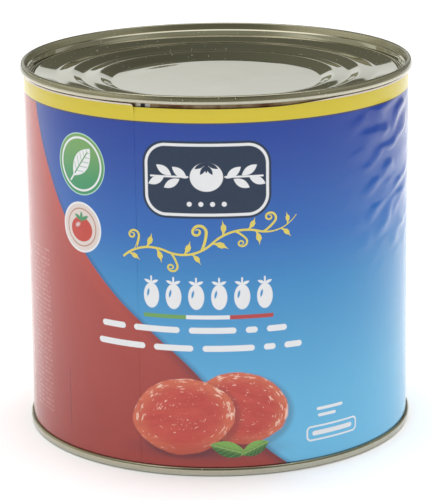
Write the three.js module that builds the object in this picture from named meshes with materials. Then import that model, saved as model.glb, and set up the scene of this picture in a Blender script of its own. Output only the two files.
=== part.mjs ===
// Catering-size food tin: a filled body, two ends with stepped rings inside a double seam,
// and a wrap-round paper label. Millimetres, +Z up, the origin under the middle of the lower
// seam, the front of the label towards -Y.
import * as THREE from 'three';

const { degToRad, smoothstep } = THREE.MathUtils;

const tinHeight = 150;
const seamRadius = 78.6;
const bodyRadius = 76.6;
const turnSteps = 60; // sides of every turned piece, all with a corner at the front
const sheetThickness = 0.35;
const fitGap = 0.2; // between pieces that touch

// The double seam that folds an end over the body, as depths under the rim
const seam = {
  depth: 3.4,
  lipRadius: 77.6,
  lipFillet: 0.5,
  crestInnerRadius: 76.7,
  crestFillet: 0.55,
  ledgeTop: { radius: 76.05, depth: 2.6 },
  ledgeFoot: { radius: 75.45, depth: 3.1 },
};

// The face of an end from its countersink inwards: a ridge, then a valley and a ridge for
// each step down to the flat middle
const faceCorners = [
  { radius: 75.05, depth: 5.6, fillet: 0.45 },
  { radius: 73.9, depth: 5.6, fillet: 0.45 },
  { radius: 73.0, depth: 4.4, fillet: 0.8 },
  { radius: 64.3, depth: 6.0, fillet: 2.2 },
  { radius: 57.9, depth: 5.4, fillet: 1.6 },
  { radius: 53.6, depth: 7.3, fillet: 1.6 },
  { radius: 47.2, depth: 6.75, fillet: 1.6 },
  { radius: 42.3, depth: 9.0, fillet: 1.2 },
];

// The flat middle, drawn in a little by the vacuum in the tin
const middle = { radius: 42.3, depth: 9.0, drawnIn: 0.7, radii: [28, 14, 0] };

// The paper was wrapped a little askew, so its top edge is lower on one side of the lap
const label = {
  innerRadius: 76.8,
  outerRadius: 77.05,
  bottom: 3.7,
  top: 146.2,
  lapAngle: degToRad(-24.5),
  lapWidth: degToRad(6),
  lapRise: 0.12,
  cutWidth: degToRad(0.1),
  dip: 1.1,
  dipFades: [degToRad(20), degToRad(65)],
};

const tinplate = { color: 0xbcbbb0, metalness: 1, roughness: 0.3 };
const bareBody = { color: 0xa39c86, metalness: 1, roughness: 0.4 };
const printedPaper = { color: 0x3f7bbd, metalness: 0, roughness: 0.35 };

const point = (radius, depth) => new THREE.Vector2(radius, tinHeight - depth);

// Replaces a corner by an arc in a few straight steps
function fillet(before, corner, after, radius, steps) {
  const back = before.clone().sub(corner).normalize();
  const ahead = after.clone().sub(corner).normalize();
  const reach = radius / Math.tan(back.angleTo(ahead) / 2);
  return new THREE.QuadraticBezierCurve(
    corner.clone().addScaledVector(back, reach),
    corner,
    corner.clone().addScaledVector(ahead, reach),
  ).getPoints(steps);
}

// Moves an open outline by a distance to the left of its direction
function offset(outline, distance) {
  const normals = outline.slice(1).map((end, index) => {
    const along = end.clone().sub(outline[index]).normalize();
    return new THREE.Vector2(-along.y, along.x);
  });
  return outline.map((corner, index) => {
    const first = normals[Math.max(index - 1, 0)];
    const second = normals[Math.min(index, normals.length - 1)];
    const mitre = first.clone().add(second).normalize();
    return corner.clone().addScaledVector(mitre, distance / mitre.dot(first));
  });
}

// The face of an end, from the foot of the seam's ledge in to the centre
function endFace() {
  const { radius: edge, depth, drawnIn, radii } = middle;
  const panel = radii.map((radius) => point(radius, depth + drawnIn * (1 - (radius / edge) ** 2)));
  const corners = [
    point(seam.ledgeFoot.radius, seam.ledgeFoot.depth),
    ...faceCorners.map((corner) => point(corner.radius, corner.depth)),
    ...panel,
  ];
  const rounded = faceCorners.flatMap((corner, index) => (
    fillet(corners[index], corners[index + 1], corners[index + 2], corner.fillet, 1)
  ));
  return { corners, outline: [corners[0], ...rounded, ...panel] };
}

// The face moved down into the tin, from the foot of the seam in to the axis
function underFace(distance, footDepth) {
  const outline = offset(endFace().corners, distance);
  outline[0].y = tinHeight - footDepth;
  outline[outline.length - 1].x = 0;
  return outline;
}

function endProfile() {
  const { depth, lipRadius, lipFillet, crestInnerRadius, crestFillet, ledgeTop } = seam;
  const lip = point(lipRadius, depth);
  const foot = point(seamRadius, depth);
  const crestOuter = point(seamRadius, 0);
  const crestInner = point(crestInnerRadius, 0);
  const ledge = point(ledgeTop.radius, ledgeTop.depth);
  return [
    ...underFace(sheetThickness, depth).reverse(),
    lip,
    ...fillet(lip, foot, crestOuter, lipFillet, 2),
    ...fillet(foot, crestOuter, crestInner, crestFillet, 2),
    ...fillet(crestOuter, crestInner, ledge, crestFillet, 2),
    ledge,
    ...endFace().outline,
  ];
}

// The same outline seen in a mirror at half height, still running anticlockwise
function mirrored(outline) {
  return outline.map(({ x, y }) => new THREE.Vector2(x, tinHeight - y)).reverse();
}

function bodyProfile() {
  const footDepth = seam.depth + fitGap;
  const upperHalf = [
    point(bodyRadius, footDepth),
    ...underFace(sheetThickness + fitGap, footDepth),
  ];
  return [...mirrored(upperHalf), ...upperHalf];
}

// Turns a profile that starts and ends on the axis; the first side starts at the front
function turned(profile) {
  return new THREE.LatheGeometry(profile, turnSteps).rotateX(Math.PI / 2);
}

// A point of the label's plan, with the angle counted from the front towards +X
function planPoint(angle, radius) {
  return new THREE.Vector2(radius * Math.sin(angle), -radius * Math.cos(angle));
}

// The paper thickens towards the lap, where its upper layer is cut off square
function labelRadius(angle) {
  const onLap = 1 + (angle - label.lapAngle) / label.lapWidth;
  return label.outerRadius + (onLap > 0 && onLap < 1 ? label.lapRise * onLap : 0);
}

function labelTop(angle) {
  const beforeLap = angle < label.lapAngle;
  return label.top - (beforeLap ? 0 : label.dip * (1 - smoothstep(angle, ...label.dipFades)));
}

function paperSleeve() {
  const evenAngles = Array.from({ length: turnSteps }, (unused, index) => (
    (index / turnSteps - 0.5) * 2 * Math.PI
  ));
  const { lapAngle, lapWidth, cutWidth, innerRadius, bottom, top } = label;
  const angles = [...evenAngles, lapAngle - lapWidth, lapAngle - cutWidth, lapAngle];
  angles.sort((first, second) => first - second);
  const plan = new THREE.Shape(angles.map((angle) => planPoint(angle, labelRadius(angle))));
  plan.holes.push(new THREE.Path(evenAngles.map((angle) => planPoint(angle, innerRadius))));
  const sleeve = new THREE.ExtrudeGeometry(plan, { depth: top - bottom, bevelEnabled: false });
  sleeve.translate(0, 0, bottom);
  const place = sleeve.attributes.position;
  for (let index = 0; index < place.count; index += 1) {
    if (place.getZ(index) > bottom + 1) {
      place.setZ(index, labelTop(Math.atan2(place.getX(index), -place.getY(index))));
    }
  }
  return sleeve;
}

function piece(name, geometry, finish) {
  const mesh = new THREE.Mesh(geometry, new THREE.MeshStandardMaterial(finish));
  mesh.name = name;
  return mesh;
}

const tin = new THREE.Group();
tin.add(
  piece('tin_body', turned(bodyProfile()), bareBody),
  piece('top_end', turned(endProfile()), tinplate),
  piece('bottom_end', turned(mirrored(endProfile())), tinplate),
  piece('paper_label', paperSleeve(), printedPaper),
);

export default tin;
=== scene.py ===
# A catering tin of peeled tomatoes: welded wall, two seamed ends, wrap-round paper label
from math import asin, atan2, cos, degrees, exp, hypot, pi, radians, sin, tan

import bmesh
import bpy
from mathutils import Matrix, Vector, noise


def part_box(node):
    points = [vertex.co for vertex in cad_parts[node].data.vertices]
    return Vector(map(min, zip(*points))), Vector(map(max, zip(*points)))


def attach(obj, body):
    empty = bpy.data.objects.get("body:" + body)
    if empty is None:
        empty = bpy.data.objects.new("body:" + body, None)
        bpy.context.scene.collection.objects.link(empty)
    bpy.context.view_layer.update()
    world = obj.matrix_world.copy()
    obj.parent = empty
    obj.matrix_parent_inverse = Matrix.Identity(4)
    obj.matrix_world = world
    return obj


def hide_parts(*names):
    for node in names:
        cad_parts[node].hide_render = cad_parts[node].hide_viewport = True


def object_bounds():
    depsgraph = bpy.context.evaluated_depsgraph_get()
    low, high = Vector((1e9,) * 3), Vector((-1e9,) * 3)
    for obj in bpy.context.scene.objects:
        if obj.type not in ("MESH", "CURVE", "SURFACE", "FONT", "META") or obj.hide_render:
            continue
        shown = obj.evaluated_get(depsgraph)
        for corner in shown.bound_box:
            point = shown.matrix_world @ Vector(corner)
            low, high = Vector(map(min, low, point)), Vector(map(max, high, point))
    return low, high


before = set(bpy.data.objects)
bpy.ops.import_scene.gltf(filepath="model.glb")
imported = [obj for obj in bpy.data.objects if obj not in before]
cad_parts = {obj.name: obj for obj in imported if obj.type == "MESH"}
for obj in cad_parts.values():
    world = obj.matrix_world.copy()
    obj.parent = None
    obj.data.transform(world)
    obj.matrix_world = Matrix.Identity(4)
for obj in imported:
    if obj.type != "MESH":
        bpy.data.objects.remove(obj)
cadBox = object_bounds()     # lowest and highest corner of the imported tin
mm = 0.001               # meshes are shaped in millimetres and scaled when they are done

tin = {
    "height": cadBox[1].z / mm,
    "bodyRadius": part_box("tin_body")[1].x / mm,
    "labelRadius": 77.45,
    "labelTop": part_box("paper_label")[1].z / mm,
}
print("frame loaded,", round(tin["height"], 1), "mm tall")


# Node trees written as expressions
def ink(red, green, blue):
    # a screen colour from 0 to 255, as the light that a shader works with
    channels = []
    for value in (red, green, blue):
        part = value / 255
        channels.append(part / 12.92 if part < 0.04045 else ((part + 0.055) / 1.055) ** 2.4)
    return (*channels, 1)


def onValues(operation, reflected=False):
    # an operator that becomes a Math node
    def apply(self, other):
        values = (other, self) if reflected else (self, other)
        return self.shade.maths(operation, *values)
    return apply


class Wire:
    # an output socket that adds Math nodes when it is used in an expression
    def __init__(self, shade, socket):
        self.shade = shade
        self.socket = socket

    __add__ = onValues("ADD")
    __radd__ = onValues("ADD", True)
    __sub__ = onValues("SUBTRACT")
    __rsub__ = onValues("SUBTRACT", True)
    __mul__ = onValues("MULTIPLY")
    __rmul__ = onValues("MULTIPLY", True)
    __truediv__ = onValues("DIVIDE")
    __rtruediv__ = onValues("DIVIDE", True)
    __gt__ = onValues("GREATER_THAN")
    __lt__ = onValues("LESS_THAN")
    __or__ = onValues("MAXIMUM")
    __and__ = onValues("MINIMUM")

    def __neg__(self):
        return self.shade.maths("MULTIPLY", self, -1)

    def __abs__(self):
        return self.shade.maths("ABSOLUTE", self)


class Shade:
    # one node tree, and short ways to add nodes to it
    def __init__(self, tree):
        self.tree = tree
        tree.nodes.clear()

    def node(self, kind, settings=None, sockets=None, output=0):
        made = self.tree.nodes.new(kind)
        for name, value in (settings or {}).items():
            if name == "stops":
                self.setStops(made.color_ramp, value)
            elif name == "points":
                self.setPoints(made.mapping, value)
            else:
                setattr(made, name, value)
        for name, value in (sockets or {}).items():
            self.feed(made.inputs[name], value)
        return Wire(self, made.outputs[output]) if made.outputs else made

    def feed(self, socket, value):
        if isinstance(value, Wire):
            self.tree.links.new(value.socket, socket)
        else:
            socket.default_value = value

    def setStops(self, ramp, stops):
        while len(ramp.elements) < len(stops):
            ramp.elements.new(1)
        for element, (position, colour) in zip(ramp.elements, stops):
            element.position = position
            element.color = colour

    def setPoints(self, mapping, points):
        curve = mapping.curves[0]
        while len(curve.points) < len(points):
            curve.points.new(1, 1)
        for corner, place in zip(curve.points, points):
            corner.location = place
        mapping.update()

    def maths(self, operation, *values, clamp=False):
        settings = {"operation": operation, "use_clamp": clamp}
        return self.node("ShaderNodeMath", settings, dict(enumerate(values)))

    def vector(self, operation, *values):
        output = 1 if operation in ("LENGTH", "DISTANCE", "DOT_PRODUCT") else 0
        return self.node("ShaderNodeVectorMath", {"operation": operation}, dict(enumerate(values)), output)

    def split(self, vector):
        parts = self.node("ShaderNodeSeparateXYZ", None, {0: vector}).socket.node.outputs
        return [Wire(self, part) for part in parts]

    def join(self, x, y, z=0):
        return self.node("ShaderNodeCombineXYZ", None, {0: x, 1: y, 2: z})

    def mix(self, mask, under, over):
        sockets = {0: mask, 6: under, 7: over}
        return self.node("ShaderNodeMix", {"data_type": "RGBA"}, sockets, 2)

    def ramp(self, value, stops):
        return self.node("ShaderNodeValToRGB", {"stops": stops}, {0: value})

    def noise(self, vector, scale, detail, roughness=0.5):
        sockets = {"Vector": vector, "Scale": scale, "Detail": detail, "Roughness": roughness}
        return self.node("ShaderNodeTexNoise", None, sockets)

    def between(self, value, low, high):
        # 0 at low and 1 at high, with a soft start and end
        settings = {"interpolation_type": "SMOOTHSTEP"}
        return self.node("ShaderNodeMapRange", settings, {0: value, 1: low, 2: high})

    def bump(self, height, distance, strength):
        sockets = {"Height": height, "Distance": distance, "Strength": strength}
        return self.node("ShaderNodeBump", None, sockets)

    def surface(self, **sockets):
        finish = self.node("ShaderNodeBsdfPrincipled", None, sockets)
        self.node("ShaderNodeOutputMaterial", None, {"Surface": finish})


def newMaterial(name):
    material = bpy.data.materials.new(name)
    material.use_nodes = True
    return material, Shade(material.node_tree)


def tinPlace(shade):
    # a point of the tin in millimetres
    coordinates = shade.node("ShaderNodeTexCoord", output="Object")
    return shade.vector("MULTIPLY", coordinates, (1 / mm, 1 / mm, 1 / mm))


# Mesh helpers
def smooth(value, low, high):
    part = min(max((value - low) / (high - low), 0), 1)
    return part * part * (3 - 2 * part)


def offsetOutline(points, distance):
    # moves an open outline of (radius, z) sideways, with mitred corners
    corners = [Vector(point) for point in points]
    normals = []
    for before, after in zip(corners, corners[1:]):
        along = (after - before).normalized()
        normals.append(Vector((-along.y, along.x)))
    moved = []
    for index, corner in enumerate(corners):
        first = normals[max(index - 1, 0)]
        second = normals[min(index, len(normals) - 1)]
        mitre = (first + second).normalized()
        moved.append(tuple(corner + mitre * (distance / mitre.dot(first))))
    return moved


def turned(outline, steps, roundSegments, longestEdge):
    # spins an outline of (radius, z, rounding) that starts and ends on the axis
    bm = bmesh.new()
    corners = [bm.verts.new((radius, 0, z)) for radius, z, rounding in outline]
    for before, after in zip(corners, corners[1:]):
        bm.edges.new((before, after))
    places = [corner.co.copy() for corner in corners]
    for index, rounding in enumerate(corner[2] for corner in outline):
        if rounding:
            back = places[index - 1] - places[index]
            ahead = places[index + 1] - places[index]
            reach = rounding / tan(back.angle(ahead) / 2)
            bmesh.ops.bevel(
                bm, geom=[corners[index]], offset=reach, offset_type="OFFSET",
                segments=roundSegments, profile=0.5, affect="VERTICES", material=-1,
            )
    longEdges = [edge for edge in bm.edges if edge.calc_length() > longestEdge]
    for edge in longEdges:
        cuts = int(edge.calc_length() / longestEdge)
        bmesh.ops.subdivide_edges(bm, edges=[edge], cuts=cuts)
    bmesh.ops.spin(
        bm, geom=bm.verts[:] + bm.edges[:], cent=(0, 0, 0), axis=(0, 0, 1), dvec=(0, 0, 0),
        angle=2 * pi, steps=steps, use_merge=True, use_duplicate=False,
    )
    bmesh.ops.remove_doubles(bm, verts=bm.verts, dist=0.001)
    bmesh.ops.recalc_face_normals(bm, faces=bm.faces)
    return bm


def finishPiece(bm, name, materials, node=None, slot=None, sharp=40):
    bmesh.ops.scale(bm, vec=(mm, mm, mm), verts=bm.verts)
    mesh = bpy.data.meshes.new(name)
    bm.to_mesh(mesh)
    bm.free()
    mesh.shade_smooth()
    mesh.set_sharp_from_angle(angle=radians(sharp))
    for material in materials:
        mesh.materials.append(material)
    piece = bpy.data.objects.new(name, mesh)
    bpy.context.collection.objects.link(piece)
    if node:
        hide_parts(node)
    if slot:
        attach(piece, "root")
    print("made", name, len(mesh.polygons), "faces")
    return piece


# The two ends: a double seam, a countersink and three rings stepping down to a flat middle
end = {
    "steps": 288,
    "roundSegments": 5,
    "longestEdge": 3.0,
    "sheet": 0.35,
    "seamFoot": 3.5,
    # radius, depth under the rim, rounding
    "seam": [
        (77.3, 3.5, 0.1), (78.1, 3.35, 0.3), (78.6, 2.75, 0.6), (78.6, 2.0, 1.0), (78.35, 0.9, 4.0),
        (77.95, 0, 0.75), (76.75, 0, 0.6), (76.05, 2.6, 0.2), (75.45, 3.1, 0.25),
    ],
    "face": [
        (75.05, 5.6, 0.45), (73.9, 5.6, 0.45), (73.35, 4.45, 0.3), (72.3, 4.25, 3.0),
        (64.3, 6.0, 6.0), (57.9, 5.4, 3.0), (53.6, 7.3, 4.0), (47.2, 6.75, 4.0), (42.3, 9.0, 1.2),
    ],
    "drawnIn": 0.5,           # how far the vacuum pulls the middle in
    "waviness": 0.04,
    "waveLength": 24,
    "wavesFade": (70, 75),    # radii between which the waves run out
    "waveSeeds": (3.1, 8.4),
    "creaseAngle": -134,      # of a shallow crease along the edge of the upper middle
    "creaseRadius": 37.8,
    "creaseWidth": 1.8,
    "creaseSpread": 26,
    "creaseDepth": 0.26,
    "seamFinish": (75.6, 76.0),      # radii between which the duller finish of the seam begins
    "roughness": 0.02,
    "metalDark": (198, 196, 184),
    "metalLight": (214, 213, 204),
    "tarnishDark": (163, 161, 138),
    "tarnishLight": (202, 196, 178),
    "brushed": (152, 149, 130),
    "dust": (235, 233, 224),
}


def atHeight(corners):
    # depths under the rim as heights, with the roundings kept
    return [(radius, tin["height"] - depth, rounding) for radius, depth, rounding in corners]


def underFace(distance):
    # the underside of an end, from the seam's foot in to the axis
    middleDepth = end["face"][-1][1]
    corners = atHeight([end["seam"][-1], *end["face"], (0, middleDepth, 0)])
    line = offsetOutline([corner[:2] for corner in corners], distance)
    line[0] = (line[0][0], tin["height"] - end["seamFoot"])
    line[-1] = (0, line[-1][1])
    return [(radius, z, 0) for radius, z in line]


def drawIn(bm):
    # the vacuum pulls the flat middle of both ends in
    edge = end["face"][-1][0]
    for vert in bm.verts:
        radius = hypot(vert.co.x, vert.co.y)
        if radius < edge:
            inwards = -1 if vert.co.z > tin["height"] / 2 else 1
            vert.co.z += inwards * end["drawnIn"] * (1 - (radius / edge) ** 2)


def endSolid():
    middle = (0, end["face"][-1][1], 0)
    outline = [*reversed(underFace(end["sheet"])), *atHeight([*end["seam"], *end["face"], middle])]
    bm = turned(outline, end["steps"], end["roundSegments"], end["longestEdge"])
    drawIn(bm)
    return bm


def buckle(bm, seed):
    # thin sheet is never quite even: long soft waves everywhere inside the seam
    for vert in bm.verts:
        inside = 1 - smooth(hypot(vert.co.x, vert.co.y), *end["wavesFade"])
        spot = Vector((vert.co.x / end["waveLength"], vert.co.y / end["waveLength"], seed))
        vert.co.z += end["waviness"] * inside * noise.noise(spot)


def creaseMiddle(bm):
    # a shallow crease that follows the edge of the middle for a short way
    for vert in bm.verts:
        turn = degrees(atan2(vert.co.x, -vert.co.y))
        across = (hypot(vert.co.x, vert.co.y) - end["creaseRadius"]) / end["creaseWidth"]
        along = (turn - end["creaseAngle"]) / end["creaseSpread"]
        vert.co.z -= end["creaseDepth"] * exp(-across * across - along * along)


def tinplate(name):
    material, shade = newMaterial(name)
    place = tinPlace(shade)
    x, y, z = shade.split(place)
    angle = shade.maths("ARCTAN2", x, -y)
    radius = shade.vector("LENGTH", shade.join(x, y))
    onSeam = shade.between(radius, *end["seamFinish"])
    cloud = shade.noise(place, 0.045, 3)
    streak = shade.noise(shade.vector("MULTIPLY", place, (1.6, 0.02, 0.3)), 1.0, 3)
    brush = shade.noise(shade.join(angle * 95, radius * 0.12, z * 0.12), 1.0, 4, 0.7)
    stain = shade.noise(shade.join(angle * 7, z * 0.5), 1.0, 4, 0.6)
    speck = shade.node("ShaderNodeTexVoronoi", {"feature": "F1"}, {"Vector": place, "Scale": 0.42})
    dust = shade.between(speck, 0.075, 0.045)
    fromMiddle = abs(z - tin["height"] / 2)
    crimped = shade.between(fromMiddle, tin["height"] / 2 - 0.5, tin["height"] / 2 - 1.6)
    colour = shade.mix(cloud, ink(*end["metalDark"]), ink(*end["metalLight"]))
    tarnish = shade.mix(stain, ink(*end["tarnishDark"]), ink(*end["tarnishLight"]))
    colour = shade.mix(onSeam * (0.35 + crimped * 0.4), colour, tarnish)
    colour = shade.mix(onSeam * brush * 0.4, colour, ink(*end["brushed"]))
    colour = shade.mix(dust * 0.7, colour, ink(*end["dust"]))
    rough = end["roughness"] + cloud * 0.02 + streak * 0.02 + onSeam * (brush * 0.18 + 0.07) + dust * 0.5
    relief = onSeam * brush * 0.9 + (1 - onSeam) * streak * 0.04 + cloud * 0.1
    shade.surface(**{
        "Base Color": colour, "Metallic": 1 - dust * 0.8, "Roughness": rough,
        "Normal": shade.bump(relief, 0.05 * mm, 0.6),
    })
    return material


upperEnd = endSolid()
lowerEnd = upperEnd.copy()
bmesh.ops.scale(lowerEnd, vec=(1, 1, -1), verts=lowerEnd.verts)
bmesh.ops.translate(lowerEnd, vec=(0, 0, tin["height"]), verts=lowerEnd.verts)
bmesh.ops.recalc_face_normals(lowerEnd, faces=lowerEnd.faces)
buckle(upperEnd, end["waveSeeds"][0])
buckle(lowerEnd, end["waveSeeds"][1])
creaseMiddle(upperEnd)
endMetal = tinplate("end tinplate")
finishPiece(upperEnd, "upper_end", [endMetal], "top_end", "end_tinplate")
finishPiece(lowerEnd, "lower_end", [endMetal], "bottom_end", "end_tinplate")


# The welded wall, which shows in the thin gaps beside the label
wall = {
    "steps": 360,
    "gap": 0.2,                 # between the wall and the ends
    "weldAngle": -21.0,
    "weldSpread": 0.6,          # half its width, in degrees
    "weldRise": 0.1,
    "weldFades": (1.1, 0.7),    # distances from its middle between which its colour ends
    "lacquerWidth": 3.2,
    # partly real rust and partly painted shade of the gaps under the seams
    "rustAndShade": (92, 56, 36),
    "gold": (176, 156, 122),
    "rolled": (84, 74, 56),
    "lacquer": (196, 196, 190),
    "burnt": (36, 36, 40),
}


def wallSolid():
    footDepth = end["seamFoot"] + wall["gap"]
    under = underFace(end["sheet"] + wall["gap"])
    under[0] = (under[0][0], tin["height"] - footDepth, 0)
    upper = [(tin["bodyRadius"], tin["height"] - footDepth, 0), *under]
    lower = [(radius, tin["height"] - z, rounding) for radius, z, rounding in reversed(upper)]
    bm = turned([*lower, *upper], wall["steps"], 1, 20)
    for vert in bm.verts:
        turn = degrees(atan2(vert.co.x, -vert.co.y))
        radius = hypot(vert.co.x, vert.co.y)
        onWeld = abs(turn - wall["weldAngle"]) < wall["weldSpread"]
        if onWeld and radius > tin["bodyRadius"] - 0.01:
            grown = 1 + wall["weldRise"] / radius
            vert.co.x *= grown
            vert.co.y *= grown
    drawIn(bm)
    return bm


def bareTinplate():
    material, shade = newMaterial("body tinplate")
    x, y, z = shade.split(tinPlace(shade))
    arc = shade.maths("ARCTAN2", x, -y) * tin["bodyRadius"]
    fromWeld = abs(arc - radians(wall["weldAngle"]) * tin["bodyRadius"])
    weld = shade.between(fromWeld, *wall["weldFades"])
    lacquer = shade.between(fromWeld, wall["lacquerWidth"], wall["lacquerWidth"] - 0.5)
    grime = shade.noise(shade.join(arc * 0.09, z * 0.05), 1.0, 4, 0.6)
    rolled = shade.noise(shade.join(arc * 2.4, z * 0.03), 1.0, 3)
    # the wall shows only in the gaps under the seams, and its dark rust colour is partly painted shade
    # there
    colour = shade.mix(shade.between(grime, 0.3, 0.7), ink(*wall["rustAndShade"]), ink(*wall["gold"]))
    colour = shade.mix(rolled * 0.5, colour, ink(*wall["rolled"]))
    colour = shade.mix(lacquer * 0.7, colour, ink(*wall["lacquer"]))
    colour = shade.mix(weld, colour, ink(*wall["burnt"]))
    shade.surface(**{
        "Base Color": colour, "Metallic": 1 - weld * 0.6, "Roughness": 0.3 + grime * 0.25 + weld * 0.2,
        "Normal": shade.bump(rolled, 0.02 * mm, 0.5),
    })
    return material


finishPiece(wallSolid(), "welded_wall", [bareTinplate()], "tin_body", "body_tinplate")


# The paper label: one sheet wrapped round the tin, lapped and glued at the front left
label = {
    "columns": 300,
    "rows": 150,
    "crowding": 1.25,       # how much closer the columns stand towards the cut edge
    "thickness": 0.07,
    "aboveSeam": 0.12,
    "lapAngle": -23.5,      # of the cut edge that lies on top, in degrees from the front
    "lapWidth": 6.0,
    "lapLift": 1.15,        # of the upper layer, in thicknesses of the paper
    "climb": 5.0,           # the degrees in which the upper layer climbs over the lower one
    "corner": 1.2,
    "dip": 1.1,             # the top edge is lower on the right of the lap
    "dipFades": (14, 40),   # and rises again between these degrees
    "edgeWave": 0.12,
    # ribs in the wall press through the paper, between a foot and a head that both fade
    "ribPitch": 9.5,
    "ribHeight": 0.02,
    "ribSlope": 0.3,
    "ribWander": 5.0,
    "ribFoot": (66, 96),
    "ribHead": (137, 141),
    "dentHeight": 0.42,
    "dentsStart": (32, 58),     # degrees in which the dents grow and in which they fade
    "dentsEnd": (68, 80),
    "curlReach": (2.4, 3.4),    # of the lifted corner at the cut, along the sheet and down
    "curlLift": 0.55,
}


def aroundTin(angle, z, radius):
    turn = radians(angle)
    return Vector((radius * sin(turn), -radius * cos(turn), z))


def paperRelief(angle, z):
    # the wall's ribs show faintly all round, and as short crumpled dents on the right
    spot = aroundTin(angle, z, tin["labelRadius"])
    arc = radians(angle) * tin["labelRadius"]
    wander = noise.noise(Vector((spot.x / 16, spot.y / 16, z / 13)))
    patch = noise.noise(Vector((spot.x / 8.5, spot.y / 8.5, z / 5.5 + 40)))
    phase = z - label["ribSlope"] * arc + label["ribWander"] * wander
    wave = sin(2 * pi * phase / label["ribPitch"])
    ribs = 0.1 * wave + 0.9 * asin(wave) * 2 / pi      # nearly straight slopes with soft turns
    ribbed = smooth(z, *label["ribFoot"]) * (1 - smooth(z, *label["ribHead"]))
    dented = smooth(angle, *label["dentsStart"]) * (1 - smooth(angle, *label["dentsEnd"]))
    crumple = label["dentHeight"] * dented * (0.12 + smooth(patch, -0.1, 0.12))
    return ribbed * (ribs * (label["ribHeight"] + crumple) + crumple * 0.75)


def paperTop(angle):
    # the height of the sheet's top edge, which waves a little all round
    dip = label["dip"] * (1 - smooth(angle, *label["dipFades"]))
    spot = aroundTin(angle, 0, 3.0)
    return tin["labelTop"] - label["edgeWave"] - dip + label["edgeWave"] * noise.noise(spot)


def thickenInwards(bm, thickness):
    # turns the faces away from the axis first, and then gives the sheet its thickness
    bm.normal_update()
    inwards = [face for face in bm.faces if face.normal.dot(face.calc_center_median()) < 0]
    bmesh.ops.reverse_faces(bm, faces=inwards)
    bm.normal_update()
    bmesh.ops.solidify(bm, geom=bm.faces[:], thickness=thickness)


def labelSheet():
    bm = bmesh.new()
    layer = bm.loops.layers.uv.new("OFBake")
    bmesh.ops.create_grid(
        bm, x_segments=label["columns"], y_segments=label["rows"], size=1.0, calc_uvs=True,
    )
    start = label["lapAngle"] - label["lapWidth"]
    span = 360 + label["lapWidth"]
    bottom = end["seamFoot"] + label["aboveSeam"]
    reachAlong, reachDown = label["curlReach"]
    for vert in bm.verts:
        along = 1 - ((1 - vert.co.x) / 2) ** label["crowding"]
        angle = start + along * span
        toCut = radians(start + span - angle) * tin["labelRadius"]
        missing = max(label["corner"] - toCut, 0)
        top = paperTop(angle) - label["corner"] + (label["corner"] ** 2 - missing ** 2) ** 0.5
        z = bottom + (vert.co.y + 1) / 2 * (top - bottom)
        onLap = smooth(angle, start + 360 - label["climb"], start + 360)
        curl = (1 - smooth(toCut, 0, reachAlong)) * (1 - smooth(top - z, 0, reachDown))
        lift = onLap * label["thickness"] * label["lapLift"] + curl * label["curlLift"]
        vert.co = aroundTin(angle, z, tin["labelRadius"] + lift + paperRelief(angle, z))
    outside = set(bm.faces)
    thickenInwards(bm, label["thickness"])
    for face in bm.faces:
        outwards = Vector((*face.calc_center_median().xy, 0)).normalized()
        atCut = abs(face.normal.dot(outwards)) < 0.5 and abs(face.normal.z) < 0.5
        face.material_index = 0 if face in outside or atCut else 1
        for loop in face.loops:
            spread(loop[layer], face.material_index)
    return bm


def spread(corner, side):
    # the printed side fills two rows of the bake, and the bare side a narrow strip above them
    along, up = corner.uv
    if side:
        corner.uv = (along, 0.97 + up * 0.03)
    elif along < 0.5:
        corner.uv = (along * 2, up * 0.48)
    else:
        corner.uv = (along * 2 - 1, 0.485 + up * 0.48)


# Shapes of the print, as distances in millimetres that are negative inside
def disc(shade, spot, centre, radius):
    return shade.vector("DISTANCE", spot, (*centre, 0)) - radius


def turnedTo(shade, spot, centre, turn=0, size=(1, 1)):
    sockets = {"Vector": spot, "Location": (*centre, 0), "Rotation": (0, 0, radians(turn))}
    sockets["Scale"] = (*size, 1)
    return shade.node("ShaderNodeMapping", {"vector_type": "TEXTURE"}, sockets)


def roundedBox(shade, spot, centre, half, corner, turn=0):
    local = turnedTo(shade, spot, centre, turn) if turn else shade.vector("SUBTRACT", spot, (*centre, 0))
    straight = (half[0] - corner, half[1] - corner, 0)
    past = shade.vector("SUBTRACT", shade.vector("ABSOLUTE", local), straight)
    return shade.vector("LENGTH", shade.vector("MAXIMUM", past, (0, 0, 0))) - corner


def oval(shade, spot, centre, size, turn=0):
    local = turnedTo(shade, spot, centre, turn, size)
    return (shade.vector("LENGTH", local) - 1) * min(size)


def leaf(shade, spot, centre, size, turn=0):
    x, y = shade.split(turnedTo(shade, spot, centre, turn, size))[:2]
    return (abs(y) - (1 - x * x)) * size[1]


def joined(shapes):
    whole = shapes[0]
    for shape in shapes[1:]:
        whole = whole & shape
    return whole


def fill(shade, distance, softness=0.25):
    return shade.maths("MULTIPLY_ADD", distance, -1 / softness, 0.5, clamp=True)


def lay(shade, paint, shape, colour):
    # one flat ink over what is printed already
    return shade.mix(fill(shade, shape), paint, colour)


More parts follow.
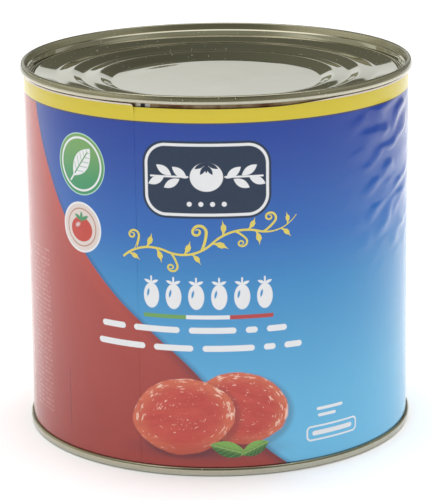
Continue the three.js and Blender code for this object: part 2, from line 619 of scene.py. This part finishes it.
printed = {
    "yellow": (206, 187, 44),
    "paper": (222, 210, 200),
    "bandBottom": 139.7,
    "bandTop": 145.5,
    "navy": (8, 38, 66),
    "white": (224, 225, 227),
    "green": (70, 140, 95),
    "tomato": (186, 62, 50),
    # colours at shares of the tin's height
    "sky": [
        (0.02, (106, 184, 223)), (0.20, (92, 171, 212)), (0.36, (74, 152, 200)),
        (0.50, (54, 134, 190)), (0.64, (36, 101, 176)), (0.80, (27, 74, 158)), (0.93, (10, 54, 146)),
    ],
    # the sweep's edge at shares of the tin's height, from 0 at one of its ends to 1 at the other
    "sweep": [
        (0.0, 0.655), (0.10, 0.566), (0.2927, 0.443), (0.3820, 0.368), (0.4670, 0.293),
        (0.5500, 0.230), (0.6610, 0.158), (0.7460, 0.118), (0.8330, 0.083), (0.9230, 0.058), (1.0, 0.045),
    ],
    "sweepEnds": (-100, 100),   # millimetres round the tin from the front
    "sweepSlope": 0.75,         # turns a distance along the arc into one across the edge
    "sweepBack": -128,          # degrees from the front at which the red ends on the left
    "redFoot": (152, 56, 50),
    "redHead": (170, 69, 62),
    "redMottle": (190, 90, 82),
    "redEdgeLow": (84, 32, 44),
    "redEdgeHigh": (186, 70, 56),
    "skyEdge": (24, 52, 100),
    "bandLine": (60, 60, 90),
    "bandLineDrop": 0.25,
    "bandLineHalf": 0.3,
}


def paintField(shade, arc, z):
    # a blue sky that pales downwards, with a red sweep rising on the left
    share = z / tin["height"]
    blue = shade.ramp(share, [(height, ink(*colour)) for height, colour in printed["sky"]])
    reach = shade.node("ShaderNodeFloatCurve", {"points": printed["sweep"]}, {"Value": share})
    left, right = printed["sweepEnds"]
    sweep = reach * (right - left) + left
    inside = (sweep - arc) * printed["sweepSlope"]
    front = arc > tin["labelRadius"] * radians(printed["sweepBack"])
    mottled = shade.noise(shade.join(arc, z), 0.05, 3)
    red = shade.mix(shade.between(z, 10, 125), ink(*printed["redFoot"]), ink(*printed["redHead"]))
    # the edge of the sweep is dark below and bright above, and the blue beside it is deeper
    low = shade.between(z, 84, 40)
    lowEdge = shade.between(inside, 5, 0) * low * 0.6
    highEdge = shade.between(inside, 9, 0) * (1 - low) * 0.5
    red = shade.mix(lowEdge, red, ink(*printed["redEdgeLow"]))
    red = shade.mix(highEdge, red, ink(*printed["redEdgeHigh"]))
    red = shade.mix(mottled * 0.15, red, ink(*printed["redMottle"]))
    blue = shade.mix(shade.between(inside, -2.6, 0) * 0.45, blue, ink(*printed["skyEdge"]))
    return shade.mix(fill(shade, -inside) * front, blue, red)


def paintBand(shade, paint, z):
    # a yellow band over a thin dark line, and bare white paper above it
    line = abs(z - printed["bandBottom"] + printed["bandLineDrop"]) - printed["bandLineHalf"]
    paint = lay(shade, paint, line, ink(*printed["bandLine"]))
    paint = lay(shade, paint, printed["bandBottom"] - z, ink(*printed["yellow"]))
    return lay(shade, paint, printed["bandTop"] - z, ink(*printed["paper"]))


plate = {
    "centre": (-4.1, 117.9),
    "half": (24.6, 14.9),
    "corner": 9.0,
    "edge": 0.9,
    "border": 1.1,
    "tomato": (6.272, 5.6),
    "emblemRise": 1.2,      # of the tomato and the sprigs over the middle of the plate
    "leafSize": (3.5, 1.5),
    "leafSpots": [(10.2, 1.6, 38), (13.2, -2.6, -30), (16.2, 2.4, 34), (19.2, -1.6, -26)],
    "stem": (14.2, 7.4, 0.35),      # middle, half length and half thickness
    # centre, size and turn of the calyx's leaves, which are mirrored to the other side
    "calyx": [((2.1, 5.6), (2.7, 0.85), -28), ((0, 5.4), (0.8, 2.6), 0), ((1.2, 3.9), (2.2, 0.8), -58)],
    "dots": 4,              # an even number
    "dotPitch": 4.4,
    "dotRadius": 0.95,
    "dotDrop": 9.3,
}


def paintPlate(shade, paint, spot):
    # a navy plate with a white line, a tomato between two sprigs, and a row of dots
    outline = roundedBox(shade, spot, plate["centre"], plate["half"], plate["corner"])
    navy = ink(*printed["navy"])
    white = ink(*printed["white"])
    paint = lay(shade, paint, outline, navy)
    border = abs(outline + plate["edge"] + plate["border"] / 2) - plate["border"] / 2
    paint = lay(shade, paint, border, white)
    x, y = shade.split(shade.vector("SUBTRACT", spot, (*plate["centre"], 0)))[:2]
    half = shade.join(abs(x), y)
    rise = plate["emblemRise"]
    emblem = [oval(shade, half, (0, rise), plate["tomato"])]
    for leafX, leafY, turn in plate["leafSpots"]:
        emblem.append(leaf(shade, half, (leafX, leafY + rise), plate["leafSize"], turn))
    middle, halfLong, halfThick = plate["stem"]
    emblem.append(roundedBox(shade, half, (middle, rise), (halfLong, halfThick), 0.3))
    paint = lay(shade, paint, joined(emblem), white)
    calyx = [leaf(shade, half, centre, size, turn) for centre, size, turn in plate["calyx"]]
    paint = lay(shade, paint, joined(calyx), navy)
    pitch = plate["dotPitch"]
    cell = shade.maths("WRAP", x, pitch, 0) - pitch / 2
    dots = disc(shade, shade.join(cell, y), (0, -plate["dotDrop"]), plate["dotRadius"])
    dots = dots | (abs(x) - plate["dots"] * pitch / 2)
    return lay(shade, paint, dots, white)


badges = {
    "greenCentre": (-57.4, 120.0),
    "greenRadius": 12.2,
    "greenHead": (112, 158, 92),
    "greenFoot": (58, 142, 98),
    "greenEdge": (176, 212, 190),
    "whiteCentre": (-57.6, 95.0),
    "whiteRadius": 10.0,
    "whiteFace": (212, 200, 194),
    "whiteRing": (176, 128, 110),
    "leafTurn": 52,
}


def paintBadges(shade, paint, spot, z):
    # a leaf in a ring on green, and below it a tomato in a ring on white
    white = ink(*printed["white"])
    green = ink(*printed["green"])
    x, y = badges["greenCentre"]
    turn = badges["leafTurn"]
    upper, lower = ink(*badges["greenHead"]), ink(*badges["greenFoot"])
    shaded = shade.mix(shade.between(z, y + 10, y - 10), upper, lower)
    greenDisc = disc(shade, spot, badges["greenCentre"], badges["greenRadius"])
    paint = lay(shade, paint, greenDisc, ink(*badges["greenEdge"]))
    paint = lay(shade, paint, greenDisc + 0.4, shaded)
    paint = lay(shade, paint, abs(greenDisc + 1.9) - 0.4, white)
    blade = leaf(shade, spot, (x + 0.6, y + 0.8), (7.4, 3.7), turn)
    paint = lay(shade, paint, blade, white)
    rib = roundedBox(shade, spot, (x - 0.4, y - 0.4), (7.0, 0.28), 0.2, turn)
    along, aside = shade.split(turnedTo(shade, spot, (x, y), turn))[:2]
    veins = abs(shade.maths("WRAP", along - abs(aside) * 0.8, 2.4, 0) - 1.2) - 0.14
    paint = lay(shade, paint, (rib & veins) | (blade + 0.5), shaded)
    stalk = roundedBox(shade, spot, (x - 4.4, y - 5.6), (2.0, 0.35), 0.3, turn)
    paint = lay(shade, paint, stalk, white)
    whiteDisc = disc(shade, spot, badges["whiteCentre"], badges["whiteRadius"])
    paint = lay(shade, paint, whiteDisc, white)
    paint = lay(shade, paint, whiteDisc + 0.7, ink(*badges["whiteFace"]))
    paint = lay(shade, paint, abs(whiteDisc + 2.6) - 0.25, ink(*badges["whiteRing"]))
    x, y = badges["whiteCentre"]
    fruit = oval(shade, spot, (x, y - 0.8), (5.6, 4.9))
    paint = lay(shade, paint, fruit, ink(*printed["tomato"]))
    gleam = oval(shade, spot, (x - 2.0, y + 0.8), (1.2, 0.7), 30)
    paint = shade.mix(fill(shade, gleam, 0.8) * 0.7, paint, white)
    for side in (-1, 0, 1):
        calyx = leaf(shade, spot, (x + side * 1.7, y + 4.1 - abs(side) * 0.3), (2.2, 0.75), 90 - side * 62)
        paint = lay(shade, paint, calyx, green)
    return paint


title = {
    "left": -30.5,
    "right": 22.1,
    "bottom": 67.2,
    "top": 80.3,
    "count": 6,
    "ribbon": (-29.4, 21.0, 64.2, 0.8),      # left, right, height and half thickness
    "ribbonColours": [(106, 156, 84), (224, 225, 227), (176, 60, 58)],
}


def paintTitle(shade, paint, spot, arc, z):
    # a row of six plum tomatoes in white, over a green, white and red ribbon
    wide = title["right"] - title["left"]
    tall = title["top"] - title["bottom"]
    pitch = wide / title["count"]
    cell = shade.maths("WRAP", arc - title["left"], pitch, 0) - pitch / 2
    local = shade.join(cell, z - title["bottom"])
    body = oval(shade, local, (0, tall * 0.38), (pitch * 0.35, tall * 0.38))
    gleam = oval(shade, local, (-1.3, tall * 0.46), (0.45, 1.5), -12)
    row = body | -gleam
    for side in (-1, 1):
        row = row & leaf(shade, local, (side * 1.35, tall * 0.80), (1.6, 0.6), side * 24)
    row = row & roundedBox(shade, local, (0, tall * 0.84), (0.35, 1.7), 0.3)
    centre = (title["left"] + wide / 2, title["bottom"] + tall / 2)
    limits = roundedBox(shade, spot, centre, (wide / 2, tall), 0.3)
    paint = lay(shade, paint, row | limits, ink(*printed["white"]))
    left, right, height, half = title["ribbon"]
    step = (right - left) / len(title["ribbonColours"])
    for index, colour in enumerate(title["ribbonColours"]):
        middle = left + step * (index + 0.5)
        part = roundedBox(shade, spot, (middle, height), (step / 2, half), 0.2)
        paint = lay(shade, paint, part, ink(*colour))
    return paint


wordRows = {
    # height of the row's middle, half height of a bar, left end, and each word's width
    "lower": (51.7, 1.2, -49.6, (20.5, 15.5, 20.0, 4.6, 7.2)),
    "upper": (58.9, 1.2, -47.8, (10.6, 18.4, 18.2, 4.6, 8.0)),
    "space": 3.6,
}


def paintWordRows(shade, paint, spot):
    # two rows of plain white bars
    for height, half, left, widths in (wordRows["upper"], wordRows["lower"]):
        bars = []
        for width in widths:
            bars.append(roundedBox(shade, spot, (left + width / 2, height), (width / 2, half), half))
            left += width + wordRows["space"]
        paint = lay(shade, paint, joined(bars), ink(*printed["white"]))
    return paint


picture = {
    "fruits": [
        # centre, half length and half height, turn, seed
        ((8.2, 27.4), (19.2, 14.4), -14, 7.0),
        ((-14.4, 24.0), (20.6, 15.4), 8, 2.0),
    ],
    "leaves": [((3.0, 10.8), (7.4, 3.2), -16), ((13.4, 10.8), (6.0, 2.8), 24)],
    "dark": (150, 48, 44),
    "deep": (180, 62, 54),
    "flesh": (192, 76, 64),
    "light": (204, 108, 78),
    "shine": (240, 206, 186),
    "groundShadow": (70, 44, 60),
    "fruitShadow": (60, 30, 45),
    "leafDark": (52, 98, 50),
    "leafLight": (118, 164, 78),
    "leafVein": (158, 190, 110),
    "leafRib": (176, 200, 126),
}


def paintFruit(shade, paint, spot, centre, size, turn, seed):
    # a peeled tomato: even red flesh, a lighter edge and short wet glints along its outline
    local = turnedTo(shade, spot, centre, turn, size)
    warp = shade.noise(local, 1.7, 2)
    x, y = shade.split(local)[:2]
    squared = shade.join(x, y * (1 + x * x * 0.16))
    outline = shade.vector("LENGTH", squared) + (warp - 0.5) * 0.14
    reach = shade.vector("LENGTH", local) + 0.05
    around = shade.join(x / reach * 4.6, y / reach * 4.6, outline * 19 + seed)
    strokes = shade.noise(around, 1.0, 3, 0.6) + (warp - 0.5) * 0.25
    folds = shade.noise(shade.join(x * 1.5 + seed, y * 5.0 + warp * 2.6), 1.0, 5, 0.62)
    edge = shade.between(outline, 0.62, 0.98)
    deep, flesh = ink(*picture["deep"]), ink(*picture["flesh"])
    colour = shade.mix(shade.between(folds, 0.3, 0.7), deep, flesh)
    colour = shade.mix(edge * (0.25 + folds), colour, ink(*picture["light"]))
    under = shade.between(y * 0.8 + outline * -0.4, -0.75, -1.2)
    colour = shade.mix(under * 0.5, colour, ink(*picture["dark"]))
    wet = shade.between(strokes + edge * 0.08 + y * 0.02, 0.62, 0.72) * (1 - under)
    colour = shade.mix(wet * 0.75, colour, ink(*picture["shine"]))
    return shade.mix(fill(shade, (outline - 1) * min(size), 0.5), paint, colour)


def paintPicture(shade, paint, spot):
    # two peeled tomatoes with soft shadows, and two leaves in front of them
    shadow = oval(shade, spot, (-6, 10.5), (30, 4.6))
    paint = shade.mix(shade.between(shadow, 1.5, -3.5) * 0.55, paint, ink(*picture["groundShadow"]))
    for centre, size, turn, seed in picture["fruits"]:
        under = oval(shade, spot, (centre[0] + 1.2, centre[1] - 1.0), size, turn)
        paint = shade.mix(shade.between(under, 1.6, -0.6) * 0.35, paint, ink(*picture["fruitShadow"]))
        paint = paintFruit(shade, paint, spot, centre, size, turn, seed)
    for centre, size, turn in picture["leaves"]:
        blade = leaf(shade, spot, centre, size, turn)
        x, y = shade.split(turnedTo(shade, spot, centre, turn, size))[:2]
        veins = shade.maths("PINGPONG", x * 3.2 + abs(y) * 1.6, 0.5)
        dark, light = ink(*picture["leafDark"]), ink(*picture["leafLight"])
        green = shade.mix(shade.between(y, -0.6, 0.6), dark, light)
        green = shade.mix(fill(shade, veins - 0.05, 0.1) * 0.45, green, ink(*picture["leafVein"]))
        green = shade.mix(fill(shade, abs(y) - 0.04, 0.08) * 0.7, green, ink(*picture["leafRib"]))
        paint = lay(shade, paint, blade, green)
    return paint


weightBlock = {
    "bars": [(45.4, 23.6, 6.2), (44.0, 20.9, 4.2)],      # middle, height and half width
    "barHalf": 0.62,
    "tablet": (46.8, 13.8, 12.2, 3.1),      # the same and half height
    "lineHalf": 0.35,
    "margin": 2.6,
    "innerHalf": 0.95,
}


def paintWeight(shade, paint, spot):
    # two tiny bars over a bar in an outlined tablet
    shapes = []
    for middle, height, half in weightBlock["bars"]:
        shapes.append(roundedBox(shade, spot, (middle, height), (half, weightBlock["barHalf"]), 0.6))
    middle, height, halfWide, halfTall = weightBlock["tablet"]
    tablet = roundedBox(shade, spot, (middle, height), (halfWide, halfTall), 2.0)
    shapes.append(abs(tablet + weightBlock["lineHalf"]) - weightBlock["lineHalf"])
    innerHalf = (halfWide - weightBlock["margin"], weightBlock["innerHalf"])
    shapes.append(roundedBox(shade, spot, (middle, height), innerHalf, 0.9))
    return lay(shade, paint, joined(shapes), ink(*printed["white"]))


sidePrint = {
    "left": -96.5,
    "right": -80.0,
    "gutter": -88.3,
    "gutterHalf": 0.6,
    "bottom": 13.5,
    "top": 82.0,
    "rowPitch": 1.9,
    "dashHalf": 0.42,
    "bareBelow": 0.47,      # of a noise round 0.5, so that the rows have gaps
    "strength": 0.2,
    "dashes": (226, 176, 170),
    "rubbed": (88, 40, 46),
    "rubbedLine": (-67.0, 11.6, 35.1),      # place, lower end and upper end
}


def paintSidePrint(shade, paint, spot, arc, z):
    # two columns of tiny pale dashes on the red, and one thin rubbed line
    pitch = sidePrint["rowPitch"]
    row = shade.maths("FLOOR", z / pitch)
    dash = shade.noise(shade.join(arc * 0.75, row * 7.3), 1.0, 2) > sidePrint["bareBelow"]
    line = abs(shade.maths("WRAP", z, pitch, 0) - pitch / 2) < sidePrint["dashHalf"]
    across = (arc > sidePrint["left"]) * (arc < sidePrint["right"])
    across = across * (abs(arc - sidePrint["gutter"]) > sidePrint["gutterHalf"])
    down = (z > sidePrint["bottom"]) * (z < sidePrint["top"])
    dashes = line * across * down * dash * sidePrint["strength"]
    paint = shade.mix(dashes, paint, ink(*sidePrint["dashes"]))
    place, low, high = sidePrint["rubbedLine"]
    rubbed = roundedBox(shade, spot, (place, (low + high) / 2), (0.22, (high - low) / 2), 0.2)
    return shade.mix(fill(shade, rubbed) * 0.7, paint, ink(*sidePrint["rubbed"]))


backPanel = {
    "half": (47.0, 58.0),
    "corner": 5.0,
    "height": 71.0,
    "margin": 6.0,
    "rowPitch": 4.2,
    "barHalf": 0.85,
    "headRow": 112.0,
    "headHalf": (30, 2.6),
    "textBottom": 64.0,
    "textTop": 104.0,
    "tableBottom": 22.0,
    "tableTop": 62.0,
    "column": 14,           # of the line down the table, from the middle
    "lineHalf": 0.3,
    "paper": (240, 234, 216),
    "ink": (52, 62, 96),
}


def paintBackPanel(shade, paint, x, y, z):
    # a cream panel with rows of plain bars and a ruled table, centred on the back
    arc = shade.maths("ARCTAN2", x, y) * tin["labelRadius"]
    spot = shade.join(arc, z)
    panel = roundedBox(shade, spot, (0, backPanel["height"]), backPanel["half"], backPanel["corner"])
    dark = ink(*backPanel["ink"])
    paint = lay(shade, paint, panel - 0.8, ink(*printed["yellow"]))
    paint = lay(shade, paint, panel, ink(*backPanel["paper"]))
    headHalf = backPanel["headHalf"]
    head = roundedBox(shade, spot, (0, backPanel["headRow"]), headHalf, headHalf[1])
    pitch = backPanel["rowPitch"]
    row = shade.maths("FLOOR", z / pitch)
    inRow = abs(shade.maths("WRAP", z, pitch, 0) - pitch / 2) - backPanel["barHalf"]
    words = shade.noise(shade.join(arc * 0.16, row * 5.7), 1.0, 1)
    inside = backPanel["half"][0] - backPanel["margin"]
    low, high = backPanel["textBottom"], backPanel["textTop"]
    block = abs(z - (low + high) / 2) - (high - low) / 2
    rows = inRow | (abs(arc) - inside) | block | (0.42 - words) * 8
    paint = lay(shade, paint, rows & head, dark)
    low, high = backPanel["tableBottom"], backPanel["tableTop"]
    table = roundedBox(shade, spot, (0, (low + high) / 2), (inside, (high - low) / 2), 0.6)
    line = backPanel["lineHalf"]
    outline = abs(table) - line
    rules = (abs(shade.maths("WRAP", z - low, pitch * 1.25, 0)) - line) | table
    column = (abs(arc - backPanel["column"]) - line) | table
    cells = inRow | (table + 1.2) | (0.5 - words) * 8
    paint = lay(shade, paint, outline & rules & column, dark)
    return shade.mix(fill(shade, cells) * 0.75, paint, dark)


def printedPaper():
    material, shade = newMaterial("label print")
    place = tinPlace(shade)
    x, y, z = shade.split(place)
    arc = shade.maths("ARCTAN2", x, -y) * tin["labelRadius"]
    spot = shade.join(arc, z)
    paint = paintField(shade, arc, z)
    paint = paintBackPanel(shade, paint, x, y, z)
    paint = paintSidePrint(shade, paint, spot, arc, z)
    paint = paintBadges(shade, paint, spot, z)
    paint = paintPlate(shade, paint, spot)
    paint = paintTitle(shade, paint, spot, arc, z)
    paint = paintWordRows(shade, paint, spot)
    paint = paintPicture(shade, paint, spot)
    paint = paintWeight(shade, paint, spot)
    paint = paintBand(shade, paint, z)
    fibre = shade.noise(place, 1.1, 3, 0.6)
    haze = shade.noise(shade.vector("MULTIPLY", place, (0.03, 0.03, 0.2)), 1.0, 3)
    paint = shade.mix(fibre * 0.012, paint, ink(238, 236, 232))
    shade.surface(**{
        "Base Color": paint, "Roughness": 0.42 + haze * 0.12, "Coat Weight": 0.85 + haze * 0.2,
        "Coat Roughness": 0.06, "Coat IOR": 1.42, "Specular IOR Level": 0.06,
        "Normal": shade.bump(fibre * 0.25 + haze * 0.75, 0.05 * mm, 0.5),
    })
    return material


def barePaper():
    material, shade = newMaterial("bare paper")
    place = tinPlace(shade)
    fibre = shade.noise(place, 2.5, 4, 0.7)
    shade.surface(**{
        "Base Color": shade.mix(fibre, ink(214, 205, 190), ink(238, 233, 224)),
        "Roughness": 0.8 + fibre * 0.1, "Normal": shade.bump(fibre, 0.04 * mm, 0.4),
    })
    return material


finishPiece(labelSheet(), "wrapped_label", [printedPaper(), barePaper()], "paper_label", "label_paper", 60)


# A yellow vine tendril printed across the label, laid on as a thin ribbon of ink
tendril = {
    "ink": (208, 190, 72),
    "paleInk": (240, 226, 120),
    "width": 0.88,
    "thickness": 0.03,
    "standOff": 0.02,
    "lapLift": 1.2,         # where the label is double, in thicknesses of the paper
    "step": 0.5,
    "start": (-37.5, 86.5),
    "heading": 44,
    # arcs of (length, turn in degrees, width at the end) for the stem, a curl and a leaf
    "stem": [(19, -66, 1.0), (19, 66, 1.0), (19, -60, 1.0), (17, 70, 0.3)],
    "curl": [(5.5, 20, 1.0), (6.0, 170, 0.9), (3.6, 190, 0.8), (2.0, 160, 0.3)],
    "leaf": [(0.9, 0, 0.7), (1.5, 8, 2.3), (1.4, 8, 2.3), (2.2, 10, 0.15)],
    "curlOpening": 38,      # degrees between the stem and the start of a curl or a leaf
    "leafOpening": 52,
    # where each grows on the stem, on which side, and how large it is
    "curls": [(6, 1, 1.0), (21, -1, 0.95), (33, 1, 1.3), (48, -1, 0.9), (59, 1, 1.05)],
    "leaves": [
        (3, -1, 0.9), (11, 1, 1.0), (15, -1, 1.0), (26, 1, 1.0), (29, -1, 0.9), (38, -1, 1.1),
        (43, 1, 1.0), (53, 1, 0.9), (56, -1, 1.0), (66, -1, 0.9), (69, 1, 0.8),
    ],
}


def stroke(bm, start, heading, arcs, size=1.0):
    # a pen line: an edge as long as the line is wide, extruded along arc after arc
    width = tendril["width"] * size ** 0.5
    side = Matrix.Rotation(radians(heading + 90), 3, "Z") @ Vector((width / 2, 0, 0))
    middle = Vector((*start, 0))
    edge = bm.edges.new([bm.verts.new(middle - side), bm.verts.new(middle + side)])
    path = [(0, middle.copy(), heading)]
    for length, turn, widthAfter in arcs:
        steps = max(round(length * size / tendril["step"]), 6)
        grown = (widthAfter * tendril["width"] * size / width) ** (1 / steps)
        pace = length * size / steps
        for index in range(steps):
            made = bmesh.ops.extrude_edge_only(bm, edges=[edge])["geom"]
            verts = [part for part in made if isinstance(part, bmesh.types.BMVert)]
            edge = next(part for part in made if isinstance(part, bmesh.types.BMEdge))
            forward = Matrix.Rotation(radians(heading + turn / steps / 2), 3, "Z") @ Vector((1, 0, 0))
            bmesh.ops.translate(bm, vec=forward * pace, verts=verts)
            middle = (verts[0].co + verts[1].co) / 2
            there = Matrix.Translation(-middle)
            spun = Matrix.Rotation(radians(turn / steps), 3, "Z")
            bmesh.ops.rotate(bm, cent=middle, matrix=spun, verts=verts)
            bmesh.ops.scale(bm, vec=(grown, grown, 1), space=there, verts=verts)
            heading += turn / steps
            path.append((path[-1][0] + pace, middle.copy(), heading))
        width = widthAfter * tendril["width"] * size
    return path


def tendrilRibbon():
    bm = bmesh.new()
    stem = stroke(bm, tendril["start"], tendril["heading"], tendril["stem"])
    for kind, places in (("curl", "curls"), ("leaf", "leaves")):
        for along, side, size in tendril[places]:
            place, heading = next(step[1:] for step in stem if step[0] >= along)
            arcs = [(length, turn * side, width) for length, turn, width in tendril[kind]]
            stroke(bm, place.xy, heading + tendril[kind + "Opening"] * side, arcs, size)
    lift = tendril["standOff"] + tendril["thickness"]
    overLap = label["thickness"] * tendril["lapLift"]
    for vert in bm.verts:
        angle = degrees(vert.co.x / tin["labelRadius"])
        onLap = overLap if angle < label["lapAngle"] else 0
        radius = tin["labelRadius"] + paperRelief(angle, vert.co.y) + lift + onLap
        vert.co = aroundTin(angle, vert.co.y, radius)
    thickenInwards(bm, tendril["thickness"])
    return bm


def tendrilInk():
    material, shade = newMaterial("tendril ink")
    place = tinPlace(shade)
    grain = shade.noise(place, 1.1, 3, 0.6)
    colour = shade.mix(grain * 0.35, ink(*tendril["ink"]), ink(*tendril["paleInk"]))
    shade.surface(**{
        "Base Color": colour, "Roughness": 0.42 + grain * 0.1, "Coat Weight": 0.6 + grain * 0.1,
        "Coat Roughness": 0.12, "Normal": shade.bump(grain, 0.02 * mm, 0.4),
    })
    return material


finishPiece(tendrilRibbon(), "printed_tendril", [tendrilInk()], None, "label_paper", 60)


# The studio: a white floor, light walls at the sides and a soft top light
studio = {
    "floorHalf": 2.5,
    # place, target, size and power
    "topLight": ((0, 0.1, 1.7), (0, 0.1, 0), (2.6, 2.6), 32.0),
    "frontLight": ((-0.25, -1.2, 0.75), (0, 0, 0.07), (0.9, 0.7), 0.5),
    # two lights that brighten the floor beside the tin: away, back, height, size and power
    "sideLights": (0.36, 0.28, 0.55, (0.5, 0.6), 1.1),
    "softLight": (209, 209, 209),
    # what the metal mirrors behind the tin, at its sides and in front, as (elevation, colour)
    "back": [
        (0, (100, 99, 84)), (4.5, (110, 109, 94)), (7.5, (232, 233, 228)), (13.8, (222, 223, 217)),
        (13.95, (106, 105, 88)), (60, (98, 98, 84)), (72, (290, 286, 270)), (90, (300, 296, 282)),
    ],
    "sides": [
        (0, (190, 189, 172)), (4, (190, 189, 172)), (5.5, (150, 148, 128)), (10, (150, 148, 128)),
        (11.5, (194, 192, 172)), (20, (194, 192, 172)), (36, (160, 158, 134)),
        (48, (98, 98, 84)), (58, (290, 286, 270)), (90, (300, 296, 282)),
    ],
    "front": [
        (0, (152, 151, 132)), (20, (142, 141, 120)), (30, (98, 97, 82)),
        (66, (98, 97, 82)), (72, (290, 286, 270)), (90, (300, 296, 282)),
    ],
    "backEnds": (0.92, 0.6),       # shares of straight back between which the sides begin
    "frontStarts": (-0.5, -0.9),
    "backFall": 0.75,              # how much brighter the left is than the right
    "sideFall": 0.25,
}


def makeFloor():
    bm = bmesh.new()
    bmesh.ops.create_grid(bm, x_segments=8, y_segments=8, size=studio["floorHalf"] / mm)
    material, shade = newMaterial("studio floor")
    place = tinPlace(shade)
    grain = shade.noise(place, 0.02, 3)
    colour = shade.mix(grain, ink(246, 246, 246), ink(252, 252, 252))
    shade.surface(**{"Base Color": colour, "Roughness": 0.75 + grain * 0.1})
    floor = finishPiece(bm, "studio_floor", [material])


def softBox(name, place, target, size, power):
    lamp = bpy.data.lights.new(name, "AREA")
    lamp.shape = "RECTANGLE"
    lamp.size, lamp.size_y = size
    lamp.energy = power
    box = bpy.data.objects.new(name, lamp)
    box.location = place
    box.rotation_euler = (Vector(target) - Vector(place)).to_track_quat("-Z", "Y").to_euler()
    box.visible_camera = False
    box.visible_glossy = False      # the metal mirrors the world's room instead
    bpy.context.collection.objects.link(box)


def makeLights():
    softBox("top_light", *studio["topLight"])
    away, back, high, size, power = studio["sideLights"]
    for name, side in (("left_light", -1), ("right_light", 1)):
        softBox(name, (away * side, back, high), (away * side, back, 0), size, power)
    softBox("front_light", *studio["frontLight"])


def makeWorld():
    # white to the camera, even for soft light, and to the metal an olive room with a
    # bright low band at the back, paler walls at the sides and a bright ceiling
    world = bpy.data.worlds.new("studio room")
    world.use_nodes = True
    bpy.context.scene.world = world
    shade = Shade(world.node_tree)
    rays = shade.node("ShaderNodeLightPath").socket.node.outputs
    toCamera = Wire(shade, rays["Is Camera Ray"])
    inGloss = Wire(shade, rays["Is Glossy Ray"])
    direction = shade.node("ShaderNodeTexCoord", output="Generated")
    x, y, z = shade.split(direction)
    elevation = degrees(1) * shade.maths("ARCSINE", z)
    walls = []
    for part, fall in (("back", studio["backFall"]), ("sides", studio["sideFall"]), ("front", 0)):
        stops = [(turn / 90, ink(*colour)) for turn, colour in studio[part]]
        level = 1 - x * fall
        wall = shade.ramp(elevation / 90, stops)
        walls.append(shade.vector("MULTIPLY", wall, shade.join(level, level, level)))
    ahead = y / shade.vector("LENGTH", shade.join(x, y, 0.001))
    seen = shade.mix(shade.between(ahead, *studio["backEnds"]), walls[0], walls[1])
    seen = shade.mix(shade.between(ahead, *studio["frontStarts"]), seen, walls[2])
    light = shade.mix(inGloss, ink(*studio["softLight"]), seen)
    light = shade.mix(toCamera, light, (1, 1, 1, 1))
    background = shade.node("ShaderNodeBackground", None, {"Color": light, "Strength": 1.0})
    shade.node("ShaderNodeOutputWorld", None, {"Surface": background})


def makeCamera():
    # worked out from the outline of the tin in a picture of 432 by 500 pixels
    view = {
        "distance": 0.9433, "height": 0.33128, "pitch": 0.27086, "yaw": -0.00095, "roll": -0.01262,
        "focalPixels": 2383.2, "pictureHeight": 500, "sensor": 36,
    }
    lens = bpy.data.cameras.new("studio camera")
    lens.sensor_width = view["sensor"]
    lens.lens = view["focalPixels"] * view["sensor"] / view["pictureHeight"]
    camera = bpy.data.objects.new("studio_camera", lens)
    turn = Matrix.Rotation(-view["yaw"], 4, "Z") @ Matrix.Rotation(pi / 2 - view["pitch"], 4, "X")
    turn = turn @ Matrix.Rotation(view["roll"], 4, "Z")
    camera.matrix_world = Matrix.Translation((0, -view["distance"], view["height"])) @ turn
    bpy.context.collection.objects.link(camera)
    bpy.context.scene.camera = camera


makeFloor()
makeLights()
makeWorld()
makeCamera()
bpy.context.scene.view_settings.view_transform = "Standard"
print("studio made")
